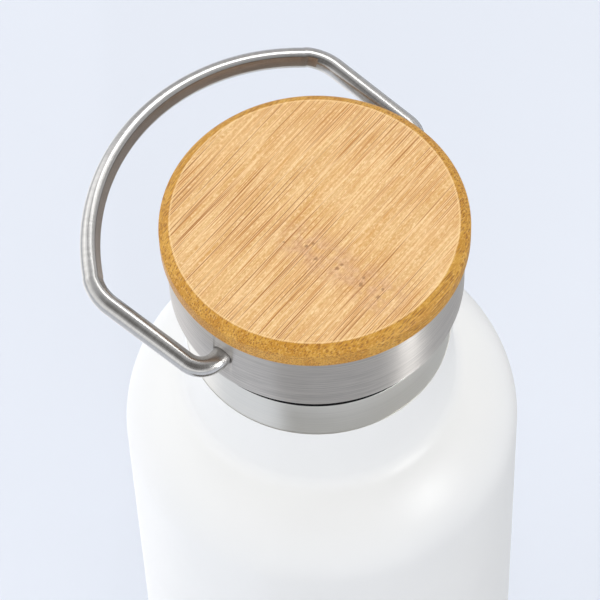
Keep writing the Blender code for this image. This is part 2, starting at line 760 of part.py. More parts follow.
# ---------------------------------------------------------------- build
def main():
    clear_scene()
    make_material("cutter", (1.0, 0.2, 0.2), 0.8, 0.0)
    coated = make_material("white_coated_steel", (0.86, 0.87, 0.88), 0.45, 0.0)
    raw_steel = make_material("satin_steel", (0.62, 0.62, 0.61), 0.35, 1.0)
    cap_steel = make_material("brushed_cap_steel", (0.6, 0.59, 0.58), 0.32, 1.0)
    wire_steel = make_material("polished_wire_steel", (0.7, 0.69, 0.67), 0.16, 1.0)
    bamboo = make_material("bamboo", (0.78, 0.55, 0.28), 0.5, 0.0)
    core_plastic = make_material("dark_moulded_plastic", (0.05, 0.05, 0.055), 0.5, 0.0)
    bush_plastic = make_material("grey_nylon", (0.12, 0.12, 0.12), 0.5, 0.0)
    silicone = make_material("dark_silicone", (0.04, 0.04, 0.045), 0.7, 0.0)
    foam = make_material("white_foam", (0.85, 0.85, 0.82), 0.9, 0.0)
    foil = make_material("reflective_foil", (0.75, 0.5, 0.35), 0.2, 1.0)
    getter = make_material("getter_metal", (0.3, 0.3, 0.3), 0.6, 1.0)
    solder = make_material("sealing_solder", (0.5, 0.5, 0.48), 0.4, 1.0)

    build_outer_shell(coated)
    build_outer_base(raw_steel)
    build_base_cover(raw_steel)
    build_vacuum_seal(solder)
    build_getter(getter)
    build_inner_flask(raw_steel)
    build_inner_flask_base(raw_steel)
    build_foil(foil)

    build_bamboo(bamboo)
    build_cap_shell(cap_steel, pivot_cutter("shell_pivot_holes", SHELL_PIVOT_HOLE_R))
    build_cap_core(core_plastic, pivot_cutter("core_pivot_holes", CORE_PIVOT_HOLE_R))
    build_plug_liner(raw_steel)
    build_foam(foam)
    build_gasket(silicone)
    build_screws(raw_steel)
    build_bush("pivot_bush_left", bush_plastic, -1.0)
    build_bush("pivot_bush_right", bush_plastic, 1.0)

    build_handle(wire_steel)
    build_clip("pivot_clip_left", raw_steel, -1.0)
    build_clip("pivot_clip_right", raw_steel, 1.0)


main()
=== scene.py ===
"""Looks for the insulated steel bottle with a bamboo-topped screw cap and a wire bail handle.

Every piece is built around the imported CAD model, in its frame: base on z = 0, axis on +Z, handle
pivots along X. Lengths named below are in millimetres unless they say otherwise.
"""

import math

import bmesh
import bpy
from mathutils import Matrix, Vector


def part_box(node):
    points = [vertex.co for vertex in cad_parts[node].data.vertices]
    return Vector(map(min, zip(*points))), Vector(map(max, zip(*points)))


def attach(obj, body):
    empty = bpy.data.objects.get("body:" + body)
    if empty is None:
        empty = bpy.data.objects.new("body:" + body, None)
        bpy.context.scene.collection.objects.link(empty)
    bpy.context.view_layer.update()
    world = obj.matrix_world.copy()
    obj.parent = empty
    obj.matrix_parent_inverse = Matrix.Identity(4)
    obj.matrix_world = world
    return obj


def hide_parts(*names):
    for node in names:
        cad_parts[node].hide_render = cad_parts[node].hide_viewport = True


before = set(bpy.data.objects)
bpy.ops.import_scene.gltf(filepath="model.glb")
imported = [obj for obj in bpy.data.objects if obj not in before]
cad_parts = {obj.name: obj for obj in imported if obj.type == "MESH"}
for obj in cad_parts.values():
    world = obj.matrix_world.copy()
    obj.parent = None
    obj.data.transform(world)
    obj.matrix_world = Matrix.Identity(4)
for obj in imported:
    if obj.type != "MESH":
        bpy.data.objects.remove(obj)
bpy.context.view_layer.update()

MM = 0.001
TAU = math.tau
ON_AXIS = 1e-6
# clearance between pieces that lie next to each other
GAP = 0.3

# body
BODY_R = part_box("outer_shell")[1].x / MM
MOUTH_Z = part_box("outer_shell")[1].z / MM
FOOT_INNER_R = 29.4
FOOT_OUTER_R = 31.5
FOOT_HEIGHT = 4.0
BASE_PLATE_Z = 2.0
BASE_COVER_TOP = 0.8
VACUUM_PORT_R = 1.2
HEEL_R = 5.0
SHEET = 0.7
SHOULDER_Z = 138.0
DOME_R = 17.8
NECK_FILLET_R = 4.0
NECK_ROOT_R = 24.8
NECK_R = 23.8
PAINT_Z = 170.7
COAT = 0.12
BORE_R = 21.0
LIP_STEP = 0.54
LIP_STEP_R = 23.3
FLASK_R = BODY_R - SHEET - 2.4
FLASK_SPLIT_Z = 14.0
COLLAR_R = 22.8
COLLAR_HEIGHT = 1.6

# thread
PITCH = 4.0
THREAD_TURNS = 1.75
THREAD_HEIGHT = 0.95
THREAD_HALF = 0.85
NECK_THREAD_Z = 168.2
PLUG_THREAD_Z = 166.8

# cap
CAP_R = 26.05
CAP_TOP_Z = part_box("cap_shell")[1].z / MM
CAP_SHEET = 0.5
CAP_SEAT_R = 23.7
CURL_R = 3.6
CURL_Z = 185.8
CORE_SKIRT_R = 25.2
CORE_SKIRT_INNER_R = 23.9
CORE_FLOOR_Z = 183.3
CORE_WEB = 1.7
PLUG_R = 19.7
PLUG_BOTTOM_Z = 163.3
PLUG_WALL = 2.0
PLATE_DEPTH = 3.2
END_DISC_LOW = 161.8
END_DISC_HIGH = 166.0
GASKET_INNER_R = 21.3
GASKET_EDGE_R = 23.84
BAMBOO_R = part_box("bamboo_disc")[1].x / MM
BAMBOO_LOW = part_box("bamboo_disc")[0].z / MM
BAMBOO_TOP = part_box("bamboo_disc")[1].z / MM
BEVEL_Z = 202.0
BEVEL_IN = 1.85

# handle
SIDES = {"left": -1.0, "right": 1.0}
PIVOT_Z = 192.35
LEAN = math.radians(9.65)
WIRE_R = 1.8
HALF_WIDTH = 31.1
SHOULDER_HALF = 31.6
LEG = 23.4
ARC_CENTRE = 0.6
PIVOT_BEND_R = 3.85
SHOULDER_BEND_R = 8.9
WIRE_FACE_X = 25.5
WIRE_HOLE_R = 1.94
SPIGOT_R = 1.25
SPIGOT_TIP_X = 21.3
BUSH_BORE_R = 1.35
BUSH_R = 2.1
BUSH_FLANGE_R = 2.8
BUSH_X = (22.9, 23.35, 25.35)
CORE_HOLE_R = 2.2
DRILL_X = (22.0, 28.0)
WIRE_SIDES = 48
FLAT_DEPTH = 0.24
FLAT_TILT = math.radians(36.0)
FLAT_HALF = math.acos((WIRE_R - FLAT_DEPTH) / WIRE_R)
FLAT_MARGINS = (math.radians(0.2), math.radians(1.1))


# ------------------------------------------------------------------ node materials
def srgb(r, g, b):
    """A linear colour from 0-255 display values."""
    out = []
    for value in (r, g, b):
        c = value / 255.0
        out.append(c / 12.92 if c <= 0.04045 else ((c + 0.055) / 1.055) ** 2.4)
    return (*out, 1.0)


def grey(value):
    """A linear grey."""
    return (value, value, value, 1.0)


def shaded(colour, factor):
    """A linear colour made darker or lighter."""
    return tuple(min(1.0, factor * c) for c in colour[:3]) + (1.0,)


class Nodes:
    """A small wrapper that makes a material's node tree short to write."""

    def __init__(self, name):
        self.material = bpy.data.materials.new(name)
        self.material.use_nodes = True
        self.tree = self.material.node_tree
        self.shader = self.tree.nodes["Principled BSDF"]
        self.coords = self.add("ShaderNodeTexCoord").outputs["Object"]

    def add(self, kind, inputs=None, **settings):
        made = self.tree.nodes.new(kind)
        for key, value in settings.items():
            setattr(made, key, value)
        for key, value in (inputs or {}).items():
            self.feed(made.inputs[key], value)
        return made

    def feed(self, socket, value):
        if isinstance(value, bpy.types.NodeSocket):
            self.tree.links.new(value, socket)
        else:
            socket.default_value = value

    def set(self, **values):
        for key, value in values.items():
            self.feed(self.shader.inputs[key.replace("_", " ")], value)

    def math(self, operation, a, b=0.0):
        return self.add("ShaderNodeMath", {0: a, 1: b}, operation=operation).outputs[0]

    def vector_math(self, operation, a, b=(0.0, 0.0, 0.0)):
        return self.add("ShaderNodeVectorMath", {0: a, 1: b}, operation=operation)

    def scaled(self, vector, x, y, z):
        return self.vector_math("MULTIPLY", vector, (x, y, z)).outputs[0]

    def moved(self, vector, offset):
        return self.vector_math("ADD", vector, offset).outputs[0]

    def length(self, vector):
        return self.vector_math("LENGTH", vector).outputs["Value"]

    def split(self, vector):
        """The x, y and z of a vector."""
        return self.add("ShaderNodeSeparateXYZ", {0: vector}).outputs

    def noise(self, vector, scale=1.0, detail=3.0, rough=0.5):
        made = self.add(
            "ShaderNodeTexNoise",
            {"Vector": vector, "Scale": scale, "Detail": detail, "Roughness": rough},
        )
        return made.outputs[0]

    def span(self, value, low, high, out_low=0.0, out_high=1.0):
        """Maps low..high to out_low..out_high smoothly, held at both ends."""
        made = self.add(
            "ShaderNodeMapRange",
            {0: value, 1: low, 2: high, 3: out_low, 4: out_high},
            interpolation_type="SMOOTHSTEP",
        )
        return made.outputs[0]

    def mix(self, share, a, b):
        made = self.add("ShaderNodeMix", data_type="RGBA")
        self.feed(made.inputs[0], share)
        self.feed(made.inputs[6], a)
        self.feed(made.inputs[7], b)
        return made.outputs[2]

    def bump(self, height, distance_mm, strength):
        inputs = {"Height": height, "Distance": distance_mm * MM, "Strength": strength}
        return self.add("ShaderNodeBump", inputs).outputs[0]

    def mm(self):
        """Object coordinates in millimetres."""
        return self.scaled(self.coords, 1000.0, 1000.0, 1000.0)


def white_coat():
    """Powder coat: a fine orange-peel surface, a little scuffed at the foot."""
    n = Nodes("white_coated_steel")
    p = n.mm()
    peel = n.noise(p, 1.1, 2.0)
    grit = n.noise(p, 7.0, 2.0)
    clouds = n.noise(p, 0.05, 2.0)
    z = n.split(p)[2]
    colour = n.mix(clouds, srgb(236, 236, 235), srgb(242, 242, 240))
    scuffs = n.span(n.noise(n.scaled(p, 1.2, 1.2, 5.0), 1.0, 4.0), 0.55, 0.72)
    foot = n.math("MULTIPLY", n.span(z, 1.6, 0.2), scuffs)
    colour = n.mix(n.math("MULTIPLY", foot, 0.35), colour, srgb(150, 150, 150))
    rough = n.span(peel, 0.3, 0.7, 0.40, 0.48)
    height = n.math("ADD", peel, n.math("MULTIPLY", grit, 0.25))
    n.set(Base_Color=colour, Roughness=rough, Normal=n.bump(height, 0.012, 0.6))
    n.set(Coat_Weight=0.12, Coat_Roughness=0.35)
    return n.material


def brushed(name, colour, rough, streak_mm, depth, aniso, contrast=1.0):
    """Steel brushed round Z: fine streaks round the axis, which spread light up and down."""
    n = Nodes(name)
    p = n.mm()
    along = 1.0 / streak_mm
    lines = n.noise(n.scaled(p, along, along, 3.4), 1.0, 3.0, 0.65)
    fine = n.noise(n.scaled(p, 3.0 * along, 3.0 * along, 9.0), 1.0, 3.0, 0.6)
    soft = n.noise(p, 0.12, 2.0)
    streaks = n.math("ADD", n.math("MULTIPLY", lines, 0.6), n.math("MULTIPLY", fine, 0.4))
    dark, light = shaded(colour, 1.0 - 0.20 * contrast), shaded(colour, 1.0 + 0.14 * contrast)
    shade = n.mix(n.span(streaks, 0.36, 0.64), dark, light)
    shade = n.mix(n.span(soft, 0.3, 0.7, 0.0, 0.35), shade, colour)
    n.set(Base_Color=shade, Metallic=1.0, Normal=n.bump(streaks, depth, 0.5))
    n.set(Roughness=n.span(streaks, 0.3, 0.7, rough - 0.04, rough + 0.04))
    tangent = n.add("ShaderNodeTangent", direction_type="RADIAL", axis="Z")
    n.set(Anisotropic=aniso, Anisotropic_Rotation=0.25, Tangent=tangent.outputs[0])
    return n.material


def drawn_wire():
    """Polished wire: faint lines along its length, read from the sweep's own UV map."""
    n = Nodes("polished_wire_steel")
    uv = n.add("ShaderNodeUVMap", uv_map="along").outputs[0]
    lines = n.noise(n.scaled(uv, 0.06, 5.0, 1.0), 1.0, 4.0, 0.6)
    cross = n.noise(n.scaled(uv, 2.5, 0.4, 1.0), 1.0, 3.0, 0.5)
    marks = n.math("ADD", n.math("MULTIPLY", lines, 0.7), n.math("MULTIPLY", cross, 0.3))
    shade = n.mix(n.span(marks, 0.35, 0.65), srgb(184, 182, 179), srgb(208, 206, 203))
    planed = n.add("ShaderNodeAttribute", attribute_name="planed").outputs["Fac"]
    crease_shade = n.add("ShaderNodeAttribute", attribute_name="crease_shade").outputs["Fac"]
    # the planed flat is tinted warm: a painted reflection of the bamboo
    shade = n.mix(n.math("MULTIPLY", planed, 0.6), shade, srgb(198, 184, 172))
    # a painted dark line along the crease at the flat's upper edge, standing in for the dark
    # reflection there
    shade = n.mix(n.math("MULTIPLY", crease_shade, 0.75), shade, srgb(84, 80, 78))
    n.set(Base_Color=shade, Metallic=1.0, Roughness=n.span(marks, 0.3, 0.7, 0.17, 0.27))
    n.set(Normal=n.bump(marks, 0.010, 0.5))
    return n.material


NODE_PITS = (
    (-6.9, 1.2, 0.34),
    (-5.2, -2.4, 0.36),
    (-4.1, -2.9, 0.26),
    (-6.3, -5.3, 0.46),
    (-5.6, -9.3, 0.42),
    (-4.6, -9.5, 0.32),
    (-5.8, -14.6, 0.46),
    (-4.4, -14.1, 0.36),
    (-4.3, -18.2, 0.38),
    (-6.0, -18.4, 0.44),
)


def bamboo():
    """Bamboo cut along its fibres, which run along X: streaks on top, end grain on the rim."""
    n = Nodes("bamboo")
    p = n.mm()
    x, y, z = n.split(p)
    radius = n.length(n.scaled(p, 1.0, 1.0, 0.0))
    # fibres wander a little, so bundles dip in and out of the cut face
    drift = n.add("ShaderNodeTexNoise", {"Vector": n.scaled(p, 0.008, 0.03, 0.03), "Detail": 1.0})
    q = n.moved(p, n.scaled(drift.outputs["Color"], 0.0, 0.6, 1.0))

    def streaks(offset, length, pitch, thick, least):
        """Long thin lines along the fibres, each with its own strength."""
        at = n.scaled(n.moved(q, (0.0, offset, 0.0)), 1.0 / length, 1.0 / pitch, 0.0)
        made = n.add("ShaderNodeTexVoronoi", {"Vector": at, "Scale": 1.0}, voronoi_dimensions="2D")
        strength = n.span(n.split(made.outputs["Color"])[0], least, 0.6)
        core = n.span(made.outputs["Distance"], thick / pitch, 0.35 * thick / pitch)
        return n.math("MULTIPLY", core, strength)

    # each dark grain line sits in a wider pale line: a painted highlight along the groove
    long_painted_highlight = streaks(0.0, 52.0, 0.50, 0.25, 0.0)
    long_dark = streaks(0.0, 52.0, 0.50, 0.145, 0.0)
    short_painted_highlight = streaks(9.0, 24.0, 0.42, 0.21, 0.1)
    short_dark = streaks(9.0, 24.0, 0.42, 0.125, 0.1)
    more_painted_highlight = streaks(21.0, 34.0, 0.38, 0.19, 0.1)
    more_dark = streaks(21.0, 34.0, 0.38, 0.115, 0.1)
    bundles = n.add("ShaderNodeTexVoronoi", {"Vector": n.scaled(q, 0.10, 3.1, 3.1), "Scale": 1.0})
    dots = n.span(bundles.outputs["Distance"], 0.46, 0.22)
    fibre = n.noise(n.scaled(q, 0.04, 2.1, 2.1), 1.0, 3.0, 0.7)
    flecks = n.noise(n.scaled(q, 1.3, 3.0, 3.0), 1.0, 3.0, 0.75)
    bands = n.noise(n.scaled(q, 0.02, 0.30, 0.30), 1.0, 2.0)
    clouds = n.noise(p, 0.14, 2.0)

    colour = n.mix(n.span(bands, 0.38, 0.62), srgb(212, 162, 93), srgb(218, 173, 108))
    colour = n.mix(n.span(clouds, 0.35, 0.7, 0.0, 0.4), colour, srgb(226, 188, 134))
    colour = n.mix(n.span(fibre, 0.47, 0.30, 0.0, 0.60), colour, srgb(204, 142, 60))
    colour = n.mix(n.span(fibre, 0.53, 0.70, 0.0, 0.50), colour, srgb(252, 220, 160))
    colour = n.mix(n.span(flecks, 0.50, 0.62, 0.0, 0.62), colour, srgb(204, 148, 82))
    colour = n.mix(n.span(flecks, 0.48, 0.36, 0.0, 0.60), colour, srgb(252, 218, 170))
    # painted highlights beside the grain lines first, then the dark grain lines over them
    colour = n.mix(n.math("MULTIPLY", more_painted_highlight, 0.60), colour, srgb(255, 216, 162))
    colour = n.mix(n.math("MULTIPLY", short_painted_highlight, 0.60), colour, srgb(255, 216, 162))
    colour = n.mix(n.math("MULTIPLY", long_painted_highlight, 0.70), colour, srgb(255, 219, 166))
    colour = n.mix(n.math("MULTIPLY", more_dark, 0.85), colour, srgb(184, 118, 30))
    colour = n.mix(n.math("MULTIPLY", short_dark, 0.85), colour, srgb(178, 112, 28))
    colour = n.mix(n.math("MULTIPLY", long_dark, 0.9), colour, srgb(158, 94, 14))

    # a joint of the cane crosses the fibres as a paler, pinker band with small pits
    band = n.span(n.math("ABSOLUTE", n.math("ADD", x, 5.2)), 5.5, 1.2)
    reach = n.math("MULTIPLY", n.span(y, 4.5, -0.5), n.span(y, -24.5, -20.0))
    wobble = n.span(n.noise(p, 0.55, 3.0), 0.32, 0.62)
    knot = n.math("MULTIPLY", n.math("MULTIPLY", band, reach), wobble)
    mottle = n.noise(n.scaled(p, 1.3, 1.8, 1.3), 1.0, 4.0, 0.7)
    knot_colour = n.mix(n.span(mottle, 0.36, 0.66), srgb(188, 136, 94), srgb(228, 186, 146))
    colour = n.mix(n.math("MULTIPLY", knot, 0.62), colour, knot_colour)
    pits = None
    for px, py, pit_r in NODE_PITS:
        offset = n.moved(p, (-px, -py, -BAMBOO_TOP))
        flat = n.scaled(offset, 0.8, 1.0, 0.0)
        ragged = n.math("ADD", n.length(flat), n.span(mottle, 0.2, 0.8, -0.16, 0.16))
        pit = n.span(ragged, pit_r, 0.35 * pit_r)
        pits = pit if pits is None else n.math("MAXIMUM", pits, pit)
    colour = n.mix(n.math("MULTIPLY", pits, 0.62), colour, srgb(136, 92, 52))

    # the turned rim is darker and shows the bundles end on
    bevel_r = BAMBOO_R - BEVEL_IN
    rim = n.span(radius, bevel_r - 0.02, bevel_r + 0.16)
    rim = n.math("MAXIMUM", rim, n.span(z, BEVEL_Z, BEVEL_Z - 0.2))
    amber = n.mix(n.span(bands, 0.35, 0.65), srgb(194, 138, 38), srgb(208, 156, 58))
    amber = n.mix(n.span(flecks, 0.50, 0.62, 0.0, 0.5), amber, srgb(176, 112, 36))
    amber = n.mix(n.span(flecks, 0.48, 0.36, 0.0, 0.5), amber, srgb(236, 190, 110))
    amber = n.mix(n.span(fibre, 0.46, 0.30, 0.0, 0.4), amber, srgb(166, 102, 30))
    amber = n.mix(n.math("MULTIPLY", dots, 0.75), amber, srgb(134, 78, 26))
    colour = n.mix(n.math("MULTIPLY", rim, 0.94), colour, amber)
    # a painted highlight: a thin pale line along the edge where the flat top meets the bevel
    inner = n.span(radius, bevel_r - 0.34, bevel_r - 0.16)
    edge = n.math("MULTIPLY", inner, n.span(radius, bevel_r + 0.04, bevel_r - 0.08))
    colour = n.mix(n.math("MULTIPLY", edge, 0.45), colour, srgb(250, 214, 150))

    groove = n.math("ADD", n.math("MULTIPLY", long_dark, -0.6), n.math("MULTIPLY", fibre, 0.4))
    groove = n.math("SUBTRACT", groove, n.math("MULTIPLY", pits, 1.2))
    groove = n.math("SUBTRACT", groove, n.math("MULTIPLY", short_dark, 0.3))
    # seen in the polished wire, the bamboo is duller
    mirrored = n.add("ShaderNodeLightPath").outputs["Is Glossy Ray"]
    colour = n.mix(n.math("MULTIPLY", mirrored, 0.75), colour, srgb(160, 142, 126))
    n.set(Base_Color=colour, Roughness=n.span(fibre, 0.3, 0.7, 0.58, 0.42))
    n.set(Normal=n.bump(groove, 0.005, 0.4), Specular_IOR_Level=0.35)
    return n.material


def turned_steel():
    """Steel turned on a lathe: fine rings round the disc's centre."""
    n = Nodes("turned_disc_steel")
    p = n.mm()
    radius = n.length(n.scaled(p, 1.0, 1.0, 0.0))
    across = n.add("ShaderNodeCombineXYZ", {0: n.math("MULTIPLY", radius, 5.0)}).outputs[0]
    rings = n.noise(n.moved(across, n.scaled(p, 0.05, 0.05, 0.05)), 1.0, 4.0, 0.7)
    shade = n.mix(n.span(rings, 0.35, 0.65), (0.46, 0.46, 0.45, 1.0), (0.64, 0.64, 0.62, 1.0))
    n.set(Base_Color=shade, Metallic=1.0, Roughness=n.span(rings, 0.3, 0.7, 0.30, 0.44))
    n.set(Normal=n.bump(rings, 0.012, 0.5))
    tangent = n.add("ShaderNodeTangent", direction_type="RADIAL", axis="Z")
    n.set(Anisotropic=0.6, Tangent=tangent.outputs[0])
    return n.material


def moulded(name, colour, rough, grain_mm, depth, specular=0.5):
    """Plastic, rubber or foam with a fine moulded grain."""
    n = Nodes(name)
    p = n.mm()
    grain = n.noise(p, 1.0 / grain_mm, 3.0)
    clouds = n.noise(p, 0.12, 2.0)
    shade = n.mix(n.span(clouds, 0.3, 0.7), shaded(colour, 0.82), shaded(colour, 1.18))
    n.set(Base_Color=shade)
    n.set(Roughness=n.span(grain, 0.3, 0.7, rough - 0.06, rough + 0.06))
    n.set(Normal=n.bump(grain, depth, 0.6), Specular_IOR_Level=specular)
    return n.material


def speckled_metal(name, colour, rough, grain_mm, depth):
    """Dull, unpolished metal with an irregular grain."""
    n = Nodes(name)
    p = n.mm()
    grain = n.noise(p, 1.0 / grain_mm, 4.0, 0.65)
    shade = n.mix(n.span(grain, 0.35, 0.65), shaded(colour, 0.7), colour)
    n.set(Base_Color=shade, Metallic=1.0)
    n.set(Roughness=n.span(grain, 0.3, 0.7, rough - 0.08, rough + 0.08))
    n.set(Normal=n.bump(grain, depth, 0.6))
    return n.material


COAT_MAT = white_coat()
CAP_STEEL = brushed("brushed_cap_steel", (0.595, 0.57, 0.54, 1.0), 0.44, 14.0, 0.010, 0.93)
RING_STEEL = brushed("satin_neck_steel", (0.765, 0.75, 0.702, 1.0), 0.38, 60.0, 0.001, 0.5, 0.25)
DISC_STEEL = turned_steel()
INNER_STEEL = brushed("satin_steel", (0.60, 0.60, 0.59, 1.0), 0.38, 30.0, 0.006, 0.5, 0.6)
WIRE_STEEL = drawn_wire()
BAMBOO = bamboo()
PLASTIC = moulded("dark_moulded_plastic", srgb(52, 52, 54), 0.5, 0.35, 0.02)
NYLON = moulded("grey_nylon", srgb(58, 58, 59), 0.5, 0.2, 0.01)
# near black, so the gasket's edge also stands in for the shade in the gap under the cap: partly
# painted shade
SILICONE = moulded("dark_silicone", srgb(9, 9, 10), 0.85, 0.25, 0.01, specular=0.12)
FOAM = moulded("white_foam", srgb(236, 235, 230), 0.85, 0.9, 0.12)
FOIL = speckled_metal("reflective_foil", (0.86, 0.62, 0.45, 1.0), 0.24, 2.2, 0.08)
GETTER = speckled_metal("getter_metal", (0.36, 0.36, 0.36, 1.0), 0.6, 0.4, 0.05)
SOLDER = speckled_metal("sealing_solder", (0.55, 0.55, 0.53, 1.0), 0.42, 0.6, 0.04)


# ------------------------------------------------------------------ mesh helpers
def arc(centre, radius, start_deg, end_deg, steps):
    """Points along an arc in the (r, z) plane, both ends included."""
    points = []
    for i in range(steps + 1):
        angle = math.radians(start_deg + (end_deg - start_deg) * i / steps)
        points.append((centre[0] + radius * math.cos(angle), centre[1] + radius * math.sin(angle)))
    return points


def corner_arc(before, corner, after, radius, steps):
    """Points of the arc that rounds a corner of a flat outline."""
    before, corner, after = Vector(before), Vector(corner), Vector(after)
    u = (before - corner).normalized()
    w = (after - corner).normalized()
    half = u.angle(w) / 2.0
    longest = 0.49 * min((before - corner).length, (after - corner).length)
    cut = min(radius / math.tan(half), longest)
    radius = cut * math.tan(half)
    centre = corner + (u + w).normalized() * radius / math.sin(half)
    arm = corner + u * cut - centre
    spin = math.copysign(math.pi - 2.0 * half, (corner - before).cross(after - corner))
    points = []
    for i in range(steps + 1):
        c, s = math.cos(spin * i / steps), math.sin(spin * i / steps)
        points.append((centre.x + arm.x * c - arm.y * s, centre.y + arm.x * s + arm.y * c))
    return points


def softened(outline, steps=4):
    """A closed outline of (r, z) or (r, z, radius) points, with the given corners rounded."""
    points = []
    count = len(outline)
    for i, point in enumerate(outline):
        if len(point) == 2:
            points.append(point)
            continue
        before, after = outline[i - 1][:2], outline[(i + 1) % count][:2]
        points += corner_arc(before, point[:2], after, point[2], steps)
    return points


def mesh_piece(name, verts, faces, materials, smooth_deg=30.0):
    """An object from points in millimetres, smooth shaded except at sharp edges."""
    mesh = bpy.data.meshes.new(name)
    mesh.from_pydata([(x * MM, y * MM, z * MM) for x, y, z in verts], [], faces)
    for material in materials:
        mesh.materials.append(material)
    mesh.validate()
    mesh.shade_smooth()
    mesh.set_sharp_from_angle(angle=math.radians(smooth_deg))
    piece = bpy.data.objects.new(name, mesh)
    bpy.context.scene.collection.objects.link(piece)
    return piece


def lathe(name, outline, materials, segments=192, smooth_deg=30.0, place=None):
    """Spins a closed (r, z) outline, given anticlockwise, about Z, or about a placed axis."""
    verts, rows = [], []
    for r, z in outline:
        if r < ON_AXIS:
            rows.append([len(verts)] * segments)
            verts.append((0.0, 0.0, z))
            continue
        rows.append(range(len(verts), len(verts) + segments))
        for k in range(segments):
            verts.append((r * math.cos(TAU * k / segments), r * math.sin(TAU * k / segments), z))
    faces = []
    for low, high in zip(rows, rows[1:] + rows[:1]):
        for k in range(segments):
            j = (k + 1) % segments
            face = list(dict.fromkeys((low[k], low[j], high[j], high[k])))
            if len(face) > 2:
                faces.append(face)
    if place is not None:
        verts = [tuple(place @ Vector(v)) for v in verts]
    return mesh_piece(name, verts, faces, materials, smooth_deg)


def boolean(target, tool, operation):
    """Joins the tool to a piece, or cuts it out of the piece, and removes the tool."""
    modifier = target.modifiers.new(operation.lower(), "BOOLEAN")
    modifier.operation = operation
    modifier.solver = "EXACT"
    modifier.object = tool
    worked = target.evaluated_get(bpy.context.evaluated_depsgraph_get())
    mesh = bpy.data.meshes.new_from_object(worked)
    target.modifiers.clear()
    target.data = mesh
    bpy.data.objects.remove(tool)


def point_outwards(piece):
    """Turns every face of a closed piece to face outwards."""
    bm = bmesh.new()
    bm.from_mesh(piece.data)
    bmesh.ops.recalc_face_normals(bm, faces=bm.faces)
    bm.to_mesh(piece.data)
    bm.free()


def finish_piece(piece, body, node):
    """Rides a piece on its body and hides the CAD node that it stands in for."""
    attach(piece, body)
    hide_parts(node)


def thread_ridge(name, root_r, crest_r, start_z, material):
    """A rounded right-hand thread ridge that fades into its wall at both ends."""
    per_turn, fade_steps, embed_depth = 72, 12, 0.35
    steps = round(THREAD_TURNS * per_turn)
    inward = crest_r < root_r
    embed = embed_depth if inward else -embed_depth
    # the ridge's half width at shares of its height
    flank = ((0.0, THREAD_HALF), (0.25, 0.72), (0.75, 0.52), (1.0, 0.30))
    shape = [(h, -w) for h, w in flank] + list(flank[::-1])
    verts, faces = [], []
    for i in range(steps + 1):
        angle = TAU * i / per_turn
        fade = math.sin(0.5 * math.pi * min(1.0, i / fade_steps, (steps - i) / fade_steps))
        z = start_z + PITCH * i / per_turn
        height = (crest_r - root_r) * max(fade, 0.02)
        ring = [(root_r + embed, -THREAD_HALF)]
        ring += [(root_r + height * h, w) for h, w in shape]
        ring.append((root_r + embed, THREAD_HALF))
        for r, dz in ring:
            verts.append((r * math.cos(angle), r * math.sin(angle), z + dz))
    size = len(shape) + 2
    for i in range(steps):
        for k in range(size):
            j = (k + 1) % size
            a, b = i * size + k, i * size + j
            quad = (a, b, b + size, a + size)
            faces.append(quad if inward else quad[::-1])
    first = tuple(range(size))
    last = tuple(range(steps * size, steps * size + size))
    faces += [first[::-1], last] if inward else [first, last[::-1]]
    return mesh_piece(name, verts, faces, [material])


# ------------------------------------------------------------------ bottle
def shoulder(inset, dome_steps, fillet_steps):
    """Profile of the shoulder's dome and the fillet up to the neck, set in from the outer skin."""
    centre = (BODY_R - DOME_R, SHOULDER_Z)
    fillet_r = NECK_ROOT_R + NECK_FILLET_R
    rise = math.sqrt((DOME_R + NECK_FILLET_R) ** 2 - (fillet_r - centre[0]) ** 2)
    meet = math.degrees(math.atan2(rise, fillet_r - centre[0]))
    dome = arc(centre, DOME_R - inset, 0.0, meet, dome_steps)
    fillet_centre = (fillet_r, centre[1] + rise)
    fillet = arc(fillet_centre, NECK_FILLET_R + inset, 180.0 + meet, 180.0, fillet_steps)
    return dome + fillet[1:]


def build_bottle_shell():
    """Outer wall: powder coat up to the paint line, bare steel above it and inside."""
    heel = (BODY_R - HEEL_R, HEEL_R)
    outside = [(FOOT_INNER_R, 0.0, 0.25), (FOOT_OUTER_R, 0.0)]
    outside += arc(heel, HEEL_R, -90.0, 0.0, 14)[1:]
    outside += [(BODY_R, HEEL_R + (SHOULDER_Z - HEEL_R) * i / 12) for i in range(1, 12)]
    outside += shoulder(0.0, 32, 10)
    outside += [
        (NECK_R + COAT + 0.02, PAINT_Z, 0.09),
        (NECK_R, PAINT_Z + 0.02),
        (NECK_R, MOUTH_Z - LIP_STEP, 0.12),
        (LIP_STEP_R, MOUTH_Z - LIP_STEP),
        (LIP_STEP_R, MOUTH_Z),
        (NECK_R - SHEET, MOUTH_Z),
    ]
    inside = [(NECK_R - SHEET, PAINT_Z)]
    inside += shoulder(SHEET, 16, 6)[::-1]
    inside += arc(heel, HEEL_R - SHEET, 0.0, -90.0, 8)[:-1]
    inside += [
        (FOOT_OUTER_R, SHEET),
        (FOOT_INNER_R + SHEET, SHEET),
        (FOOT_INNER_R + SHEET, FOOT_HEIGHT, 0.15),
        (FOOT_INNER_R, FOOT_HEIGHT, 0.15),
    ]
    outline = softened(outside + inside)
    shell = lathe("bottle_shell", outline, [COAT_MAT, RING_STEEL], 224)
    for face in shell.data.polygons:
        c = face.center / MM
        r = math.hypot(c.x, c.y)
        bare_neck = c.z > PAINT_Z + 0.005
        faces_axis = face.normal.x * c.x + face.normal.y * c.y < -0.2 * r
        inner_side = faces_axis and r < BODY_R - 0.5 and c.z > FOOT_HEIGHT + 0.2
        if bare_neck or inner_side:
            face.material_index = 1
    finish_piece(shell, "bottle", "outer_shell")


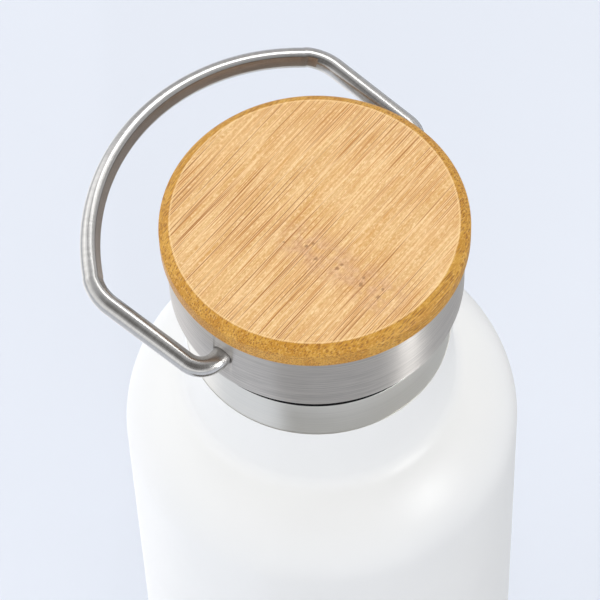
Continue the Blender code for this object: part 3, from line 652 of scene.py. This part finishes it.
def build_flask():
    """Inner wall, from its welded end up to the collar under the lip, with the internal thread."""
    centre = (BODY_R - DOME_R, SHOULDER_Z)
    dome_r = FLASK_R - centre[0]
    tube_r = BORE_R + SHEET
    meet_out = math.degrees(math.acos((tube_r - centre[0]) / dome_r))
    meet_in = math.degrees(math.acos((BORE_R - centre[0]) / (dome_r - SHEET)))
    outline = [(FLASK_R, FLASK_SPLIT_Z)]
    outline += arc(centre, dome_r, 0.0, meet_out, 16)
    outline += [
        (tube_r, MOUTH_Z - COLLAR_HEIGHT - 1.0),
        (COLLAR_R, MOUTH_Z - COLLAR_HEIGHT, 0.4),
        (COLLAR_R, MOUTH_Z, 0.25),
        (BORE_R, MOUTH_Z, 0.7),
    ]
    outline += arc(centre, dome_r - SHEET, meet_in, 0.0, 16)
    outline += [(FLASK_R - SHEET, FLASK_SPLIT_Z)]
    flask = lathe("flask_wall", softened(outline), [INNER_STEEL], 144)
    ridge = thread_ridge("flask_thread", BORE_R, BORE_R - THREAD_HEIGHT, NECK_THREAD_Z, INNER_STEEL)
    boolean(flask, ridge, "UNION")
    finish_piece(flask, "bottle", "inner_flask")


def build_base():
    """The pressed plate inside the foot ring, and the turned disc that covers it."""
    rim, floor = FOOT_INNER_R - GAP, BASE_PLATE_Z
    outline = [
        (VACUUM_PORT_R, floor, 0.1),
        (rim, floor, 0.5),
        (rim, FOOT_HEIGHT, 0.1),
        (rim - SHEET, FOOT_HEIGHT, 0.1),
        (rim - SHEET, floor + SHEET, 0.3),
        (VACUUM_PORT_R, floor + SHEET, 0.1),
    ]
    plate = lathe("base_plate", softened(outline), [INNER_STEEL], 128)
    finish_piece(plate, "bottle", "outer_base_plate")
    edge, top = FOOT_INNER_R - 2.0 * GAP, BASE_COVER_TOP
    outline = [(0.0, 0.0), (edge, 0.0, 0.3), (edge, top, 0.1), (0.0, top)]
    cover = lathe("base_cover", softened(outline), [DISC_STEEL], 160)
    finish_piece(cover, "bottle", "base_cover_disc")


# ------------------------------------------------------------------ cap
def pivot_place(side):
    """Turns a lathe axis onto the pivot axis, pointing outwards on one side."""
    turn = Matrix.Rotation(math.radians(90.0 * side), 4, "Y")
    return Matrix.Translation((0.0, 0.0, PIVOT_Z)) @ turn


def drill_hole(piece, radius, side):
    """Drills the pivot hole through one side of a piece."""
    inner, outer = DRILL_X
    drill = [(0.0, inner), (radius, inner), (radius, outer), (0.0, outer)]
    tool = lathe("pivot_drill", drill, list(piece.data.materials), 48, place=pivot_place(side))
    boolean(piece, tool, "DIFFERENCE")


def build_cap_skirt():
    """The brushed outer skirt, curled in at its lower edge, drilled for the wire's two ends."""
    curl = (CAP_R - CURL_R, CURL_Z)
    outline = arc(curl, CURL_R, -70.0, 0.0, 18)
    outline += [
        (CAP_R, CAP_TOP_Z, 0.4),
        (CAP_SEAT_R, CAP_TOP_Z),
        (CAP_SEAT_R, CAP_TOP_Z - CAP_SHEET),
        (CAP_R - CAP_SHEET, CAP_TOP_Z - CAP_SHEET),
    ]
    outline += arc(curl, CURL_R - CAP_SHEET, 0.0, -70.0, 12)
    skirt = lathe("cap_skirt", softened(outline), [CAP_STEEL], 256)
    for side in SIDES.values():
        drill_hole(skirt, WIRE_HOLE_R, side)
    finish_piece(skirt, "cap", "cap_shell")


def build_bamboo_top():
    """The bamboo disc: a low side, then a bevel in two slopes up to the flat top."""
    outline = [
        (0.0, BAMBOO_LOW),
        (BAMBOO_R, BAMBOO_LOW, 0.45),
        (BAMBOO_R, BEVEL_Z, 0.55),
        (BAMBOO_R - 0.55 * BEVEL_IN, BEVEL_Z + 0.75 * (BAMBOO_TOP - BEVEL_Z)),
        (BAMBOO_R - BEVEL_IN, BAMBOO_TOP, 0.35),
        (0.0, BAMBOO_TOP),
    ]
    disc = lathe("bamboo_top", softened(outline, 6), [BAMBOO], 224, smooth_deg=50.0)
    finish_piece(disc, "cap", "bamboo_disc")


def build_core():
    """The moulded core in one piece: skirt, web, threaded plug and screw plate."""
    curl = (CAP_R - CURL_R, CURL_Z)
    corner_r = CORE_SKIRT_R - curl[0]
    start = math.degrees(math.asin((CORE_FLOOR_Z - CURL_Z) / corner_r))
    skirt_top = CAP_TOP_Z - CAP_SHEET - GAP
    plate_top = BAMBOO_LOW - GAP
    outline = [
        (0.0, plate_top - PLATE_DEPTH),
        (PLUG_R - PLUG_WALL, plate_top - PLATE_DEPTH),
        (PLUG_R - PLUG_WALL, PLUG_BOTTOM_Z),
        (PLUG_R, PLUG_BOTTOM_Z, 0.5),
        (PLUG_R, CORE_FLOOR_Z, 0.4),
    ]
    outline += arc(curl, corner_r, start, 0.0, 8)
    outline += [
        (CORE_SKIRT_R, skirt_top, 0.2),
        (CORE_SKIRT_INNER_R, skirt_top, 0.2),
        (CORE_SKIRT_INNER_R, CORE_FLOOR_Z + CORE_WEB, 0.4),
        (PLUG_R, CORE_FLOOR_Z + CORE_WEB, 0.4),
        (PLUG_R, plate_top, 0.3),
        (0.0, plate_top),
    ]
    core = lathe("screw_core", softened(outline), [PLASTIC], 128)
    ridge = thread_ridge("plug_thread", PLUG_R, PLUG_R + THREAD_HEIGHT, PLUG_THREAD_Z, PLASTIC)
    boolean(core, ridge, "UNION")
    for side in SIDES.values():
        drill_hole(core, CORE_HOLE_R, side)
    finish_piece(core, "cap", "cap_core")


def build_plug_end():
    """The steel disc that closes the plug, with a raised boss inside the plug's wall."""
    boss_r = PLUG_R - PLUG_WALL - GAP
    rim_top = PLUG_BOTTOM_Z - GAP
    outline = [
        (0.0, END_DISC_LOW),
        (PLUG_R, END_DISC_LOW, 0.6),
        (PLUG_R, rim_top, 0.1),
        (boss_r, rim_top),
        (boss_r, END_DISC_HIGH, 0.3),
        (0.0, END_DISC_HIGH),
    ]
    plate = lathe("plug_end_plate", softened(outline), [DISC_STEEL], 128)
    finish_piece(plate, "cap", "plug_end_disc")


def build_gasket():
    """The silicone ring between cap and lip; its outer edge hangs into the lip's rebate, where its
    near-black edge is also the painted shade of the gap.
    """
    low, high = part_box("cap_gasket")[0].z / MM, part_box("cap_gasket")[1].z / MM
    middle = (low + high) / 2.0
    step_r, step_z = LIP_STEP_R + 0.05, MOUTH_Z - LIP_STEP + 0.05
    outline = [
        (GASKET_INNER_R + 0.4, low, 0.3),
        (step_r, low),
        (step_r, step_z),
        (GASKET_EDGE_R, step_z, 0.08),
        (GASKET_EDGE_R, middle, 0.4),
        (GASKET_INNER_R + 1.6, high, 0.15),
        (GASKET_INNER_R, high, 0.15),
        (GASKET_INNER_R, middle, 0.3),
    ]
    gasket = lathe("gasket_ring", softened(outline), [SILICONE], 128)
    finish_piece(gasket, "seal", "cap_gasket")


def build_bushes():
    """Bushes that the bail's ends turn in, seated in the core's skirt."""
    inner, flange, outer = BUSH_X
    outline = [
        (BUSH_BORE_R, inner, 0.1),
        (BUSH_FLANGE_R, inner, 0.15),
        (BUSH_FLANGE_R, flange, 0.1),
        (BUSH_R, flange),
        (BUSH_R, outer, 0.1),
        (BUSH_BORE_R, outer, 0.1),
    ]
    for tag, side in SIDES.items():
        bush = lathe(f"bush_{tag}", softened(outline), [NYLON], 64, place=pivot_place(side))
        finish_piece(bush, "cap", f"pivot_bush_{tag}")


# ------------------------------------------------------------------ handle
def handle_path():
    """Points along the bail from -X to +X in its own plane, and whether the arc is planed there."""
    rise = LEG - ARC_CENTRE
    arc_r = math.hypot(SHOULDER_HALF, rise)
    meet = math.atan2(rise, SHOULDER_HALF)
    leg_top = Vector((SHOULDER_HALF, LEG))
    past_bend = leg_top + 40.0 * Vector((-math.sin(meet), math.cos(meet)))
    half = [(WIRE_FACE_X, 0.0), (WIRE_FACE_X + 0.25, 0.0)]
    half += corner_arc((0.0, 0.0), (HALF_WIDTH, 0.0), leg_top, PIVOT_BEND_R, 16)
    bend = corner_arc((HALF_WIDTH, 0.0), leg_top, past_bend, SHOULDER_BEND_R, 24)
    last, start = Vector(half[-1]), Vector(bend[0])
    half += [tuple(last.lerp(start, i / 6)) for i in range(1, 6)] + bend
    start_turn = arc_turn(Vector(bend[-1]))
    steps = 60
    for i in range(1, steps + 1):
        turn = start_turn + (math.pi / 2.0 - start_turn) * i / steps
        half.append((arc_r * math.cos(turn), ARC_CENTRE + arc_r * math.sin(turn)))

    sides = []
    for margin in FLAT_MARGINS:
        first = meet + margin
        side = [Vector(p) for p in half]
        place = next(i for i, p in enumerate(side) if arc_turn(p) > first)
        point, ahead = side[place - 1], side[place]
        share = (first - arc_turn(point)) / (arc_turn(ahead) - arc_turn(point))
        side[place:place] = [point.lerp(ahead, share + gap) for gap in (-0.04, 0.04)]
        sides.append([(p, arc_turn(p) > first) for p in side])
    left, right = sides
    stations = [(Vector((-p.x, p.y)), planed) for p, planed in left] + right[-2::-1]
    return [p for p, _ in stations], [planed for _, planed in stations]


def arc_turn(point):
    """Angle of a point in the bail's plane, seen from the centre of its big arc."""
    return math.atan2(point.y - ARC_CENTRE, point.x)


def section_angles():
    """Angles round the wire from its inner side towards its upper face, with the flat's edges."""
    even = [TAU * k / WIRE_SIDES for k in range(WIRE_SIDES)]
    return sorted(even + [FLAT_TILT - FLAT_HALF, FLAT_TILT + FLAT_HALF])


def planed_share(across, up):
    """How much of an offset from the wire's middle is left once that side is planed flat."""
    depth = across * math.cos(FLAT_TILT) + up * math.sin(FLAT_TILT)
    limit = WIRE_R - FLAT_DEPTH
    return limit / depth if depth > limit else 1.0


def build_bail():
    """The wire swept along its path, with a thin spigot at each end for the bush."""
    points, planed = handle_path()
    sideways = Vector((-1.0, 0.0))
    chamfer, nib = 0.06, 0.2
    rings = []
    for i, point in enumerate(points):
        back, ahead = points[max(i - 1, 0)], points[min(i + 1, len(points) - 1)]
        rings.append((point, (ahead - back).normalized(), WIRE_R, planed[i]))
    start, end = points[0], points[-1]
    rings[0] = (start + sideways * chamfer, sideways, WIRE_R - 0.02, False)
    rings[-1] = (end - sideways * chamfer, sideways, WIRE_R - 0.02, False)
    foot = [
        (Vector((-SPIGOT_TIP_X, 0.0)), SPIGOT_R - nib),
        (Vector((-SPIGOT_TIP_X - nib, 0.0)), SPIGOT_R),
        (start, SPIGOT_R),
        (start, WIRE_R - 0.16),
    ]
    rings = [(p, sideways, r, False) for p, r in foot] + rings
    rings += [(Vector((-p.x, p.y)), sideways, r, False) for p, r in foot[::-1]]

    angles = section_angles()
    sides = len(angles)
    verts, lengths, crease_shade, planed_off, travelled = [], [], [], [], 0.0
    for i, (point, along, radius, flat) in enumerate(rings):
        inwards = Vector((along.y, -along.x))
        if i:
            travelled += (point - rings[i - 1][0]).length
        lengths.append(travelled)
        for angle in angles:
            across, up = radius * math.cos(angle), radius * math.sin(angle)
            share = planed_share(across, up) if flat else 1.0
            planed_off.append(1.0 if share < 1.0 else 0.0)
            # the flat's upper edge carries the painted crease shade
            upper_edge = math.isclose(angle, FLAT_TILT + FLAT_HALF)
            crease_shade.append(1.0 if flat and upper_edge else 0.0)
            spot = point + inwards * across * share
            verts.append((spot.x, spot.y, up * share))
    faces, corners = [], []
    turns = [WIRE_R * angle for angle in angles] + [WIRE_R * (angles[0] + TAU)]
    for i in range(len(rings) - 1):
        for k in range(sides):
            j = (k + 1) % sides
            a, b = i * sides, (i + 1) * sides
            faces.append((a + k, a + j, b + j, b + k))
            for length, turn in ((i, k), (i, k + 1), (i + 1, k + 1), (i + 1, k)):
                corners.append((lengths[length], turns[turn]))
    faces.append(tuple(range(sides))[::-1])
    corners += [(lengths[0], turns[k]) for k in range(sides)][::-1]
    top = (len(rings) - 1) * sides
    faces.append(tuple(range(top, top + sides)))
    corners += [(lengths[-1], turns[k]) for k in range(sides)]
    lean = Matrix.Translation((0.0, 0.0, PIVOT_Z)) @ Matrix.Rotation(LEAN, 4, "X")
    placed = [tuple(lean @ Vector(v)) for v in verts]
    bail = mesh_piece("bail_wire", placed, faces, [WIRE_STEEL], smooth_deg=26.0)
    for name, values in (("crease_shade", crease_shade), ("planed", planed_off)):
        marks = bail.data.attributes.new(name, "FLOAT", "POINT")
        marks.data.foreach_set("value", values)
    layer = bail.data.uv_layers.new(name="along")
    for loop, uv in zip(layer.data, corners):
        loop.uv = uv
    point_outwards(bail)
    finish_piece(bail, "handle", "bail_handle")


def dress_cad_nodes():
    """Gives every CAD node that stays in view, or may come into view, a worked material."""
    looks = {
        "vacuum_seal_plug": SOLDER,
        "getter_capsule": GETTER,
        "inner_flask_base": INNER_STEEL,
        "reflective_foil": FOIL,
        "insulation_puck": FOAM,
        "cap_screw_1": INNER_STEEL,
        "cap_screw_2": INNER_STEEL,
        "cap_screw_3": INNER_STEEL,
        "pivot_clip_left": INNER_STEEL,
        "pivot_clip_right": INNER_STEEL,
    }
    for node, material in looks.items():
        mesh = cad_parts[node].data
        mesh.materials.clear()
        mesh.materials.append(material)


# ------------------------------------------------------------------ stage, in metres
FRONT = Vector((-0.767, -0.641, 0.0))
RIGHT = Vector((0.6184, -0.7855, 0.0)).normalized()
UP = Vector((0.0, 0.0, 1.0))
CAMERA_AT = Vector((-0.27102, -0.22655, 0.7367))
CAMERA_FORWARD = Vector((0.4067, 0.3461, -0.8455))
CAMERA_RIGHT = Vector((0.6184, -0.7855, -0.0241))
LENS_MM = 222.9
SENSOR_MM = 36.0
LIGHTS_AIM = Vector((0.0, 0.0, 0.17))
LIGHTS_FAR = 1.4
LIGHT_SIZE = (0.9, 0.9)
FLOOR_SIZE = 12.0
FLOOR_Z = -0.0005
SHEET_Z = 0.001
# the surroundings' light: sky, dark side above the camera, dim right side and back
WORLD_HORIZON = (1.22, 1.23, 1.25, 1.0)
WORLD_ZENITH = (0.58, 0.59, 0.61, 1.0)
WORLD_DARK = (0.19, 0.184, 0.18, 1.0)
WORLD_DIM = grey(0.55)
WORLD_BACK = (0.60, 0.60, 0.61, 1.0)
# each sheet's corners in mm from the axis, towards the camera and then to its right; its two
# tones; its glow. They are painted reflections: painted shade that is dark in front and grey at
# the right and behind, and painted light that is bright and glowing at the left
PAINTED_REFLECTION_SHEETS = {
    "painted_shade_front": (
        ((46, -26), (46, 20), (0, 56), (-30, 210), (150, 205), (250, -145)),
        (0.170, 0.160, 0.143, 1.0),
        (0.208, 0.197, 0.178, 1.0),
        0.0,
    ),
    "painted_shade_side": (
        ((0, 56), (-70, 75), (-140, 10), (-420, -10), (-420, 260), (-30, 210)),
        grey(0.25),
        grey(0.30),
        0.0,
    ),
    "painted_glow_left": (
        ((12, -60), (-60, -45), (-400, -60), (-400, -400), (12, -400)),
        (0.80, 0.80, 0.83, 1.0),
        (0.86, 0.86, 0.89, 1.0),
        0.6,
    ),
}


def build_camera():
    """A long lens that looks down on the cap."""
    data = bpy.data.cameras.new("camera")
    data.lens = LENS_MM
    data.sensor_width = SENSOR_MM
    data.clip_start = 0.01
    data.clip_end = 50.0
    camera = bpy.data.objects.new("camera", data)
    bpy.context.scene.collection.objects.link(camera)
    forward = CAMERA_FORWARD.normalized()
    up = CAMERA_RIGHT.cross(forward).normalized()
    right = forward.cross(up)
    basis = Matrix((right, up, -forward)).transposed()
    camera.matrix_world = Matrix.Translation(CAMERA_AT) @ basis.to_4x4()
    bpy.context.scene.camera = camera


def area_light(name, spot, size, power):
    """A soft light that points at the bottle's neck."""
    data = bpy.data.lights.new(name, "AREA")
    data.shape = "RECTANGLE"
    data.size, data.size_y = size
    data.energy = power
    lamp = bpy.data.objects.new(name, data)
    bpy.context.scene.collection.objects.link(lamp)
    lamp.location = spot
    lamp.rotation_euler = (LIGHTS_AIM - spot).to_track_quat("-Z", "Y").to_euler()
    return lamp


def painted_reflection_sheet(name, corners, low, high, glow):
    """A flat sheet just above the floor that shows only in reflections: painted shade, or painted
    light where it glows.
    """
    verts = [tuple((FRONT * f + RIGHT * r) * MM + UP * SHEET_Z) for f, r in corners]
    mesh = bpy.data.meshes.new(name)
    mesh.from_pydata(verts, [], [tuple(range(len(verts)))])
    sheet = bpy.data.objects.new(name, mesh)
    bpy.context.scene.collection.objects.link(sheet)
    n = Nodes(name)
    tone = n.mix(n.noise(n.coords, 9.0, 2.0), low, high)
    n.set(Base_Color=tone, Roughness=0.9, Emission_Color=tone, Emission_Strength=glow)
    mesh.materials.append(n.material)
    sheet.visible_camera = False
    sheet.visible_diffuse = False
    sheet.visible_shadow = False


def build_floor():
    """The pale floor, and the sheets on it that the metal reflects: painted shade and painted
    light.
    """
    bpy.ops.mesh.primitive_plane_add(size=FLOOR_SIZE, location=(0.0, 0.0, FLOOR_Z))
    floor = bpy.context.object
    floor.name = "floor"
    n = Nodes("pale_floor")
    clouds = n.noise(n.coords, 1.4, 2.0)
    n.set(Base_Color=n.mix(clouds, srgb(225, 230, 239), srgb(229, 233, 242)), Roughness=0.9)
    floor.data.materials.append(n.material)
    for name, (corners, low, high, glow) in PAINTED_REFLECTION_SHEETS.items():
        painted_reflection_sheet(name, corners, low, high, glow)


def build_lights():
    """Softboxes that show in the metal, and fills that light the scene without showing in it."""
    side = 0.836 * RIGHT + 0.549 * FRONT
    strip = area_light("softbox_right", 0.8 * side + 0.42 * UP, (0.15, 0.5), 2.4)
    strip.visible_diffuse = False
    behind = -0.39 * FRONT - 0.64 * RIGHT + 0.67 * UP
    area_light("softbox_back_left", LIGHTS_FAR * behind, LIGHT_SIZE, 1.3)
    top = -0.50 * FRONT + 0.06 * RIGHT + 0.86 * UP
    area_light("softbox_top", 1.5 * top, (0.75, 0.45), 3.5)
    fills = (
        ("fill_left", 0.3 * FRONT - 0.7 * RIGHT + 0.65 * UP, 2.3),
        ("fill_right", 0.1 * FRONT + 0.8 * RIGHT + 0.6 * UP, 2.45),
        ("fill_front", 0.6 * FRONT + 0.1 * RIGHT + 0.85 * UP, 4.75),
        ("fill_low", 0.35 * FRONT + 0.9 * RIGHT + 0.15 * UP, 1.3),
    )
    for name, towards, power in fills:
        lamp = area_light(name, LIGHTS_FAR * towards, LIGHT_SIZE, power)
        lamp.visible_glossy = False


def build_world():
    """Surroundings that are bright near the horizon, dark above the camera and dim at its right."""
    world = bpy.data.worlds.new("studio")
    bpy.context.scene.world = world
    world.use_nodes = True
    tree = world.node_tree

    def share(value, low, high):
        made = tree.nodes.new("ShaderNodeMapRange")
        made.interpolation_type = "SMOOTHSTEP"
        tree.links.new(value, made.inputs[0])
        made.inputs[1].default_value, made.inputs[2].default_value = low, high
        return made.outputs[0]

    def towards(axis, low, high):
        """From 0 to 1 as a direction comes closer to an axis, given as cosines."""
        made = tree.nodes.new("ShaderNodeVectorMath")
        made.operation = "DOT_PRODUCT"
        made.inputs[1].default_value = axis.normalized()
        tree.links.new(coords.outputs["Generated"], made.inputs[0])
        return share(made.outputs["Value"], low, high)

    def mixed(amount, a, b):
        made = tree.nodes.new("ShaderNodeMix")
        made.data_type = "RGBA"
        tree.links.new(amount, made.inputs[0])
        for socket, value in ((made.inputs[6], a), (made.inputs[7], b)):
            if isinstance(value, bpy.types.NodeSocket):
                tree.links.new(value, socket)
            else:
                socket.default_value = value
        return made.outputs[2]

    coords = tree.nodes.new("ShaderNodeTexCoord")
    split = tree.nodes.new("ShaderNodeSeparateXYZ")
    tree.links.new(coords.outputs["Generated"], split.inputs[0])
    sky = mixed(share(split.outputs["Z"], 0.25, 0.9), WORLD_HORIZON, WORLD_ZENITH)
    # the back is dimmed only in reflections, so that it takes no light from the scene
    mirrored = tree.nodes.new("ShaderNodeMath")
    mirrored.operation = "MULTIPLY"
    tree.links.new(towards(0.25 * UP - FRONT, 0.72, 0.94), mirrored.inputs[0])
    glossy = tree.nodes.new("ShaderNodeLightPath").outputs["Is Glossy Ray"]
    tree.links.new(glossy, mirrored.inputs[1])
    sky = mixed(mirrored.outputs[0], sky, WORLD_BACK)
    inner, outer = math.cos(math.radians(20.0)), math.cos(math.radians(47.0))
    sky = mixed(towards(0.60 * FRONT + 0.80 * UP, outer, inner), sky, WORLD_DARK)
    sky = mixed(towards(RIGHT, 0.1, 0.9), sky, WORLD_DIM)
    tree.links.new(sky, tree.nodes["Background"].inputs["Color"])


build_bottle_shell()
build_flask()
build_base()
build_cap_skirt()
build_bamboo_top()
build_core()
build_plug_end()
build_gasket()
build_bushes()
build_bail()
dress_cad_nodes()
build_camera()
build_floor()
build_world()
build_lights()
bpy.context.scene.view_settings.view_transform = "Standard"
